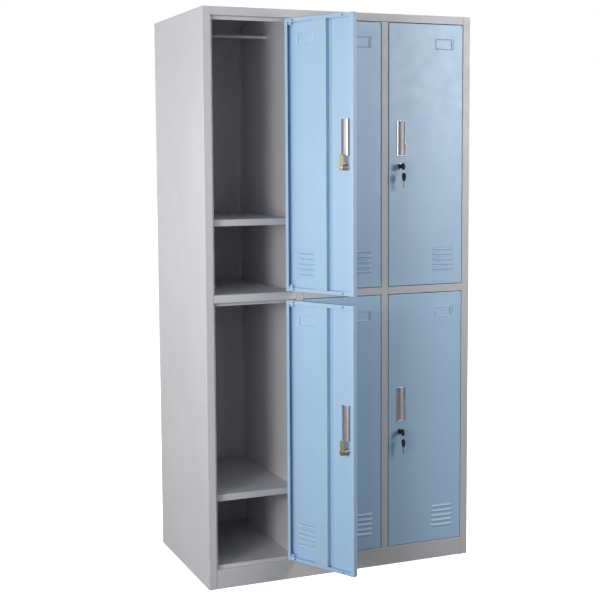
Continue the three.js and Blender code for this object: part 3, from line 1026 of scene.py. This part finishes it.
def bow_outline(radius, neck):
    """A key's moulded bow, its round head at the origin and its neck toward +x."""
    join = math.asin(neck / radius) + 0.16
    around = [join + (2 * math.pi - 2 * join) * k / 40 for k in range(41)]
    rim = [(radius * math.cos(a), radius * math.sin(a)) for a in around]
    rim += [(radius + 1.5, -neck), (BOW_TAIL, -neck), (BOW_TAIL, neck), (radius + 1.5, neck)]
    return [rim, circle(KEY_HOLE_RADIUS, 24, (-KEY_HOLE_IN, 0))]


def rounded_outline(x0, x1, z0, z1, radius):
    """A rounded rectangle as a flat outline."""
    return [(x, z) for x, _, z in rounded_loop(x0, x1, z0, z1, radius, 0, 4)]


def blade_outline(length, half):
    """A key's blade from x = 0 to its tip, bitted on one edge."""
    top = [(0, half)]
    for at, depth in KEY_CUTS:
        if at + 1.6 < length - 3:
            top += [(at - 1.4, half), (at - 0.5, half - depth), (at + 0.5, half - depth), (at + 1.4, half)]
    return [top + [(length - 2.6, half), (length, 0.6), (length, -0.6), (length - 2.0, -half), (0, -half)]]


KEY_UP = Matrix(((0, 0, 1), (1, 0, 0), (0, 1, 0)))


def key_parts():
    """The key in the lock: bow toward the user, blade into the plug, flat upright."""
    bow = moved(plate(bow_outline(11, 6.4), 4.6, 1.1, 3), (0, -BOW_OUT, 0), KEY_UP)
    collar = plate([rounded_outline(11.5, 19.0, -7.2, 7.2, 2.2)], 7.6, 1.3, 3)
    bow = merged(bow, moved(collar, (0, -BOW_OUT, 0), KEY_UP))
    blade = moved(plate(blade_outline(25, 4.0), 2.0, 0.2), (0, -8.4, 0), KEY_UP)
    return mesh_from(*bow, "key_bow"), mesh_from(*blade, "key_blade")


KEY_DOWN = Matrix(((0, 0, 1), (0, -1, 0), (-1, 0, 0)))


def spare_parts():
    """The spare key, hanging blade down from the ring in the first key's hole."""
    bow_z = -RING_DROP - 2 * RING_RADIUS - RING_DROP - KEY_HOLE_IN
    bow = moved(plate(bow_outline(10.6, 6.6), 4.6, 1.1, 3), (0, -KEY_HOLE_OUT, bow_z), KEY_DOWN)
    blade = moved(plate(blade_outline(24, 3.6), 2.0, 0.2), (0, -KEY_HOLE_OUT, bow_z - 14.6), KEY_DOWN)
    return mesh_from(*bow, "spare_bow"), mesh_from(*blade, "spare_blade")


def key_ring():
    """A split ring of two turns of wire."""
    centre = Vector((0, -KEY_HOLE_OUT, -RING_DROP - RING_RADIUS))
    loops = []
    turns, count, sides, wire = 2, 96, 10, 0.4
    for k in range(count + 1):
        a = 2 * math.pi * turns * k / count + 0.6
        out = Vector((math.cos(a), 0, math.sin(a)))
        middle = centre + out * RING_RADIUS + Vector((0, (k / count - 0.5) * 2.2 * wire, 0))
        ring = []
        for s in range(sides):
            b = 2 * math.pi * s / sides
            ring.append(tuple(middle + out * (wire * math.cos(b)) + Vector((0, wire * math.sin(b), 0))))
        loops.append(ring)
    return mesh_from(*loft(loops, closed=False), "key_ring")


def pivot_pin(z, up):
    """One of the door's two pivot pins, with its shoulder inside the pan."""
    sign = 1 if up else -1
    profile = [(0.01, PIN_REACH), (PIN_RADIUS - 0.6, PIN_REACH), (PIN_RADIUS, PIN_REACH - 0.7),
               (PIN_RADIUS, -1.2), (4, -1.2), (4, -3), (2.2, -3.2), (2.2, -20), (0.01, -20)]
    turn = Matrix(((1, 0, 0), (0, 0, 1), (0, sign, 0)))
    return moved(lathe(profile, 28), (0, 0, z), turn)


def hinge_hardware(width, height):
    """Both pivot pins, drawn in the door's frame."""
    at = (width - PIVOT_IN, PIVOT_BACK, 0)
    pins = [moved(pivot_pin(z, up), at) for z, up in ((0, False), (height, True))]
    return mesh_from(*merged(*pins), "pivot_pins")


def pin_bracket(width, height):
    """The folded guides, inside the pan's hinge corners, that carry the pins' tails."""
    parts = []
    for z in (15, height - 15):
        path = [(width - 25, BEHIND_SKIN), (width - 21, BEHIND_SKIN), (width - 21, 12), (width - 3.5, 12)]
        parts.append(folded(path, [(z - 5, z + 5)] * 3, "z", 1, 1.4, SHEET))
    return mesh_from(*merged(*parts), "pin_bracket")


def door_kit(width, height):
    """The meshes that the three doors of a row share."""
    bow, blade = key_parts()
    spare_bow, spare_blade = spare_parts()
    return {
        "pan": pan(width, height),
        "stiffener": stiffener(width, height),
        "handle": handle(height),
        "barrel": lock_barrel(),
        "plug": lock_plug(),
        "cam": lock_cam(),
        "nut": cam_nut(),
        "bow": bow,
        "blade": blade,
        "spare_bow": spare_bow,
        "spare_blade": spare_blade,
        "ring": key_ring(),
        "pins": hinge_hardware(width, height),
        "bracket": pin_bracket(width, height),
    }


for row in ROWS:
    kit = None
    for number in COLUMNS:
        tag = f"{number}_{row}"
        place, width, height = door_frame(number, row)
        kit = kit or door_kit(width, height)
        door = f"door_{tag}"
        lock = f"lock_{tag}"
        lock_at = (LOCK_FROM_EDGE * MM, 0, (height / 2 - LOCK_BELOW_MIDDLE) * MM)
        lock_place = place @ Matrix.Translation(lock_at)
        add(f"door_pan_{tag}", kit["pan"], door, blue_coat, place, (door,))
        rib = f"stiffener_{tag}"
        add(f"door_stiffener_{tag}", kit["stiffener"], door, blue_coat, place, (rib,))
        add(f"door_pins_{tag}", kit["pins"], door, chrome, place)
        add(f"door_pin_guides_{tag}", kit["bracket"], door, blue_coat, place)
        add(f"finger_pull_{tag}", kit["handle"], door, satin, place, (f"handle_{tag}",))
        barrel = f"lock_barrel_{tag}"
        add(f"lock_housing_{tag}", kit["barrel"], door, chrome, lock_place, (barrel,))
        add(f"lock_plug_{tag}", kit["plug"], lock, chrome, lock_place)
        add(f"cam_plate_{tag}", kit["cam"], lock, cam_metal, lock_place, (f"lock_cam_{tag}",))
        add(f"cam_screw_{tag}", kit["nut"], lock, brass, lock_place)
        if number != 1:
            add(f"key_bow_{tag}", kit["bow"], lock, black, lock_place, (f"key_{tag}",))
            add(f"key_blade_{tag}", kit["blade"], lock, chrome, lock_place)
            add(f"key_ring_{tag}", kit["ring"], door, chrome, lock_place)
            add(f"spare_key_bow_{tag}", kit["spare_bow"], door, black, lock_place)
            add(f"spare_key_blade_{tag}", kit["spare_blade"], door, chrome, lock_place)


# Door buffers on the stops


def buffers():
    """Four buttons on the stop at each column's free edge."""
    button = lathe([(0.01, -1.15), (2.2, -1.1), (3.1, -0.7), (3.3, 0.0), (0.01, 0.0)], 28)
    for column in columns:
        parts = []
        for bottom, top in ((PLINTH_TOP, MID_BOTTOM), (MID_TOP, TOP_BOTTOM)):
            for z in (bottom + BUFFER_FROM_RAIL, top - BUFFER_FROM_RAIL):
                parts.append(moved(button, (column["left"] + BUFFER_IN, FRONT + STOP_Y, z)))
        add(f"buffers_{column['number']}", mesh_from(*merged(*parts)), "carcass", nylon)


buffers()


# Floor, light and camera


def stage():
    """A pale floor that runs far out of view."""
    reach = 30
    corners = [(-reach, -reach, 0), (reach, -reach, 0), (reach, reach, 0), (-reach, reach, 0)]
    mesh = bpy.data.meshes.new("floor")
    mesh.from_pydata(corners, [], [(0, 1, 2, 3)])
    floor = bpy.data.objects.new("floor", mesh)
    bpy.context.scene.collection.objects.link(floor)
    n = Nodes("pale_floor")
    tone = n.ramp(n.noise(0.6, 2), [(0.3, (0.86, 0.86, 0.86)), (0.7, (0.88, 0.88, 0.88))])
    n.feed(Base_Color=tone)
    n.set(Roughness=0.9, Specular_IOR_Level=0.1, Emission_Color=(1, 1, 1, 1), Emission_Strength=1.05)
    mesh.materials.append(n.material)
    floor.visible_diffuse = False
    floor.visible_glossy = False


def softbox(name, location, target, size, power, gloss=True):
    """A soft lamp aimed at a target; gloss says whether it is mirrored in the metal."""
    light = bpy.data.lights.new(name, "AREA")
    light.shape = "RECTANGLE"
    light.size, light.size_y = size
    light.energy = power
    lamp = bpy.data.objects.new(name, light)
    lamp.location = location
    lamp.visible_camera = False
    lamp.visible_glossy = gloss
    lamp.rotation_euler = (Vector(target) - Vector(location)).to_track_quat("-Z", "Y").to_euler()
    bpy.context.scene.collection.objects.link(lamp)


def studio():
    """White surroundings, a key light from the front right, fill from the left, and lamps for the rest."""
    world = bpy.data.worlds.new("studio")
    bpy.context.scene.world = world
    world.use_nodes = True
    tree = world.node_tree
    seen = tree.nodes["Background"]
    cast = tree.nodes.new("ShaderNodeBackground")
    for background, strength in ((seen, 1.0), (cast, 0.12)):
        background.inputs["Color"].default_value = (1, 1, 1, 1)
        background.inputs["Strength"].default_value = strength
    path = tree.nodes.new("ShaderNodeLightPath")
    mix = tree.nodes.new("ShaderNodeMixShader")
    tree.links.new(path.outputs["Is Camera Ray"], mix.inputs["Fac"])
    tree.links.new(cast.outputs["Background"], mix.inputs[1])
    tree.links.new(seen.outputs["Background"], mix.inputs[2])
    tree.links.new(mix.outputs["Shader"], tree.nodes["World Output"].inputs["Surface"])
    softbox("key", (2.25, -2.4, 1.85), (0.25, 0, 1.35), (1.0, 1.0), 39)
    softbox("key_high", (1.0, -1.7, 2.7), (0.15, 0, 1.4), (1.0, 1.0), 4)
    softbox("left_front", (-2.75, -1.95, 1.1), (-0.3, -0.1, 1.0), (0.8, 0.9), 40)
    softbox("left_high", (-3.0, -1.6, 1.7), (-0.3, -0.1, 1.2), (1.2, 1.2), 17)
    softbox("left", (-3.0, -0.3, 1.25), (-0.3, 0, 1.1), (1.2, 1.4), 18)
    softbox("left_back", (-2.5, 1.6, 1.25), (-0.4, 0.3, 1.1), (1.2, 1.4), 28)
    softbox("front", (-1.9, -2.2, 1.7), (-0.2, 0, 1.1), (1.0, 1.0), 6)
    softbox("front_low", (-2.0, -2.2, 0.6), (-0.2, 0, 0.6), (1.0, 0.8), 6)
    softbox("overhead", (0.0, 0.3, 3.4), (0.0, 0.3, 1.76), (1.2, 0.6), 9, gloss=False)
    softbox("behind", (0.9, 3.2, 2.9), (0.1, 0.3, 1.3), (2.0, 1.6), 90, gloss=False)
    softbox("right", (3.4, 1.0, 1.6), (0.45, 0.25, 1.0), (1.4, 1.6), 40)


CAMERA_AT = (-1.5623, -3.4547, 1.3126)
CAMERA_YAW = 22.3786
CAMERA_PITCH = 5.2358
CAMERA_ROLL = -0.3320
SENSOR = 36
LENS = 72.905
SHIFT_Y = -0.05


def camera():
    """A view from the front left, tilted a little down."""
    data = bpy.data.cameras.new("camera")
    data.sensor_width = SENSOR
    data.lens = LENS
    data.shift_y = SHIFT_Y
    cam = bpy.data.objects.new("camera", data)
    yaw, pitch, roll = (math.radians(a) for a in (CAMERA_YAW, CAMERA_PITCH, CAMERA_ROLL))
    aim = Matrix.Rotation(-yaw, 4, "Z") @ Matrix.Rotation(math.pi / 2 - pitch, 4, "X")
    cam.matrix_world = Matrix.Translation(CAMERA_AT) @ (aim @ Matrix.Rotation(roll, 4, "Z"))
    bpy.context.scene.collection.objects.link(cam)
    bpy.context.scene.camera = cam


stage()
studio()
camera()
bpy.context.scene.view_settings.view_transform = "Standard"

bpy.context.view_layer.update()
